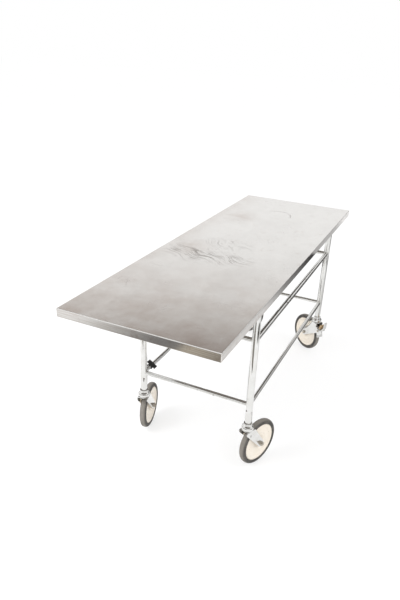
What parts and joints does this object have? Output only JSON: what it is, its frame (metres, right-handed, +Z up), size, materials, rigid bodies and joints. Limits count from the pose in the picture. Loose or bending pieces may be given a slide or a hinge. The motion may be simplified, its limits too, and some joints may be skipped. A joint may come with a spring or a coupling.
{
  "type": "body trolley",
  "caption": "Long flat-topped body trolley: folded stainless tray with a turned-down skirt on a chrome tube stand with swivel castors, the rear pair with foot brakes.",
  "frame": {"origin": "on the floor under the middle of the tray", "axes": "+X across the tray to the right, +Y along the tray from the front end to the braked rear end, +Z up"},
  "size_m": [0.655, 1.83, 0.854],
  "materials": {
    "stainless_sheet": "satin stainless sheet, scratched and stained",
    "chrome_plate": "bright plated tube, a little worn",
    "cream_enamel": "satin stove enamel",
    "tyre_rubber": "matt, dusty",
    "bronze_bush": "turned",
    "dark_steel": "blackened, oily steel",
    "worn_zinc": "worn zinc plate, browned",
    "black_moulding": "moulded",
    "tan_rubber": "moulded, worn"
  },
  "bodies": {
    "frame": {"tray": "stainless_sheet", "bearer_left": "chrome_plate", "bearer_right": "chrome_plate", "cross_bearer_front": "chrome_plate", "cross_bearer_front_legs": "chrome_plate", "cross_bearer_rear_legs": "chrome_plate", "cross_bearer_rear": "chrome_plate", "leg_front_left": "chrome_plate", "leg_front_right": "chrome_plate", "leg_rear_left": "chrome_plate", "leg_rear_right": "chrome_plate", "upper_rail_left": "chrome_plate", "upper_rail_right": "chrome_plate", "upper_rail_front": "chrome_plate", "upper_rail_rear": "chrome_plate", "lower_rail_left": "chrome_plate", "lower_rail_right": "chrome_plate", "lower_rail_front": "chrome_plate", "lower_rail_rear": "chrome_plate", "stem_screw_front_left": "dark_steel", "stem_screw_front_right": "dark_steel", "stem_screw_rear_left": "dark_steel", "stem_screw_rear_right": "dark_steel", "swivel_head_front_left": "chrome_plate", "swivel_head_front_right": "chrome_plate", "swivel_head_rear_left": "chrome_plate", "swivel_head_rear_right": "chrome_plate", "rail_clip": "black_moulding"},
    "swivel_front_left": {"fork_front_left": "chrome_plate", "axle_bolt_front_left": "worn_zinc", "axle_nut_front_left": "worn_zinc"},
    "wheel_front_left": {"wheel_disc_front_left": "cream_enamel", "tyre_front_left": "tyre_rubber", "hub_bush_front_left": "bronze_bush"},
    "swivel_front_right": {"fork_front_right": "chrome_plate", "axle_bolt_front_right": "worn_zinc", "axle_nut_front_right": "worn_zinc"},
    "wheel_front_right": {"wheel_disc_front_right": "cream_enamel", "tyre_front_right": "tyre_rubber", "hub_bush_front_right": "bronze_bush"},
    "swivel_rear_left": {"fork_rear_left": "chrome_plate", "axle_bolt_rear_left": "worn_zinc", "axle_nut_rear_left": "worn_zinc", "brake_pin_rear_left": "worn_zinc"},
    "wheel_rear_left": {"wheel_disc_rear_left": "cream_enamel", "tyre_rear_left": "tyre_rubber", "hub_bush_rear_left": "bronze_bush"},
    "brake_rear_left": {"brake_lever_rear_left": "chrome_plate", "pedal_pad_rear_left": "tan_rubber"},
    "swivel_rear_right": {"fork_rear_right": "chrome_plate", "axle_bolt_rear_right": "worn_zinc", "axle_nut_rear_right": "worn_zinc", "brake_pin_rear_right": "worn_zinc"},
    "wheel_rear_right": {"wheel_disc_rear_right": "cream_enamel", "tyre_rear_right": "tyre_rubber", "hub_bush_rear_right": "bronze_bush"},
    "brake_rear_right": {"brake_lever_rear_right": "chrome_plate", "pedal_pad_rear_right": "tan_rubber"}
  },
  "joints": [
    {"name": "swivel_front_left", "type": "hinge", "parent": "frame", "child": "swivel_front_left", "pos_m": [-0.2563, -0.431, 0.2129], "axis": [0, 0, 1], "continuous": true},
    {"name": "roll_front_left", "type": "hinge", "parent": "swivel_front_left", "child": "wheel_front_left", "pos_m": [-0.27317, -0.35792, 0.108], "axis": [-0.9744, -0.225, 0], "continuous": true},
    {"name": "swivel_front_right", "type": "hinge", "parent": "frame", "child": "swivel_front_right", "pos_m": [0.2563, -0.431, 0.2129], "axis": [0, 0, 1], "continuous": true},
    {"name": "roll_front_right", "type": "hinge", "parent": "swivel_front_right", "child": "wheel_front_right", "pos_m": [0.28257, -0.36075, 0.108], "axis": [-0.9367, 0.3502, 0], "continuous": true},
    {"name": "swivel_rear_left", "type": "hinge", "parent": "frame", "child": "swivel_rear_left", "pos_m": [-0.2563, 0.7135, 0.2129], "axis": [0, 0, 1], "continuous": true},
    {"name": "roll_rear_left", "type": "hinge", "parent": "swivel_rear_left", "child": "wheel_rear_left", "pos_m": [-0.19885, 0.76171, 0.108], "axis": [-0.6428, 0.766, 0], "continuous": true},
    {"name": "brake_rear_left", "type": "hinge", "parent": "swivel_rear_left", "child": "brake_rear_left", "pos_m": [-0.29154, 0.68393, 0.172], "axis": [0.6428, -0.766, 0], "range_deg": [0, 11]},
    {"name": "swivel_rear_right", "type": "hinge", "parent": "frame", "child": "swivel_rear_right", "pos_m": [0.2563, 0.7135, 0.2129], "axis": [0, 0, 1], "continuous": true},
    {"name": "roll_rear_right", "type": "hinge", "parent": "swivel_rear_right", "child": "wheel_rear_right", "pos_m": [0.19578, 0.75779, 0.108], "axis": [-0.5906, -0.807, 0], "continuous": true},
    {"name": "brake_rear_right", "type": "hinge", "parent": "swivel_rear_right", "child": "brake_rear_right", "pos_m": [0.29342, 0.68633, 0.172], "axis": [0.5906, 0.807, 0], "range_deg": [0, 11]}
  ]
}
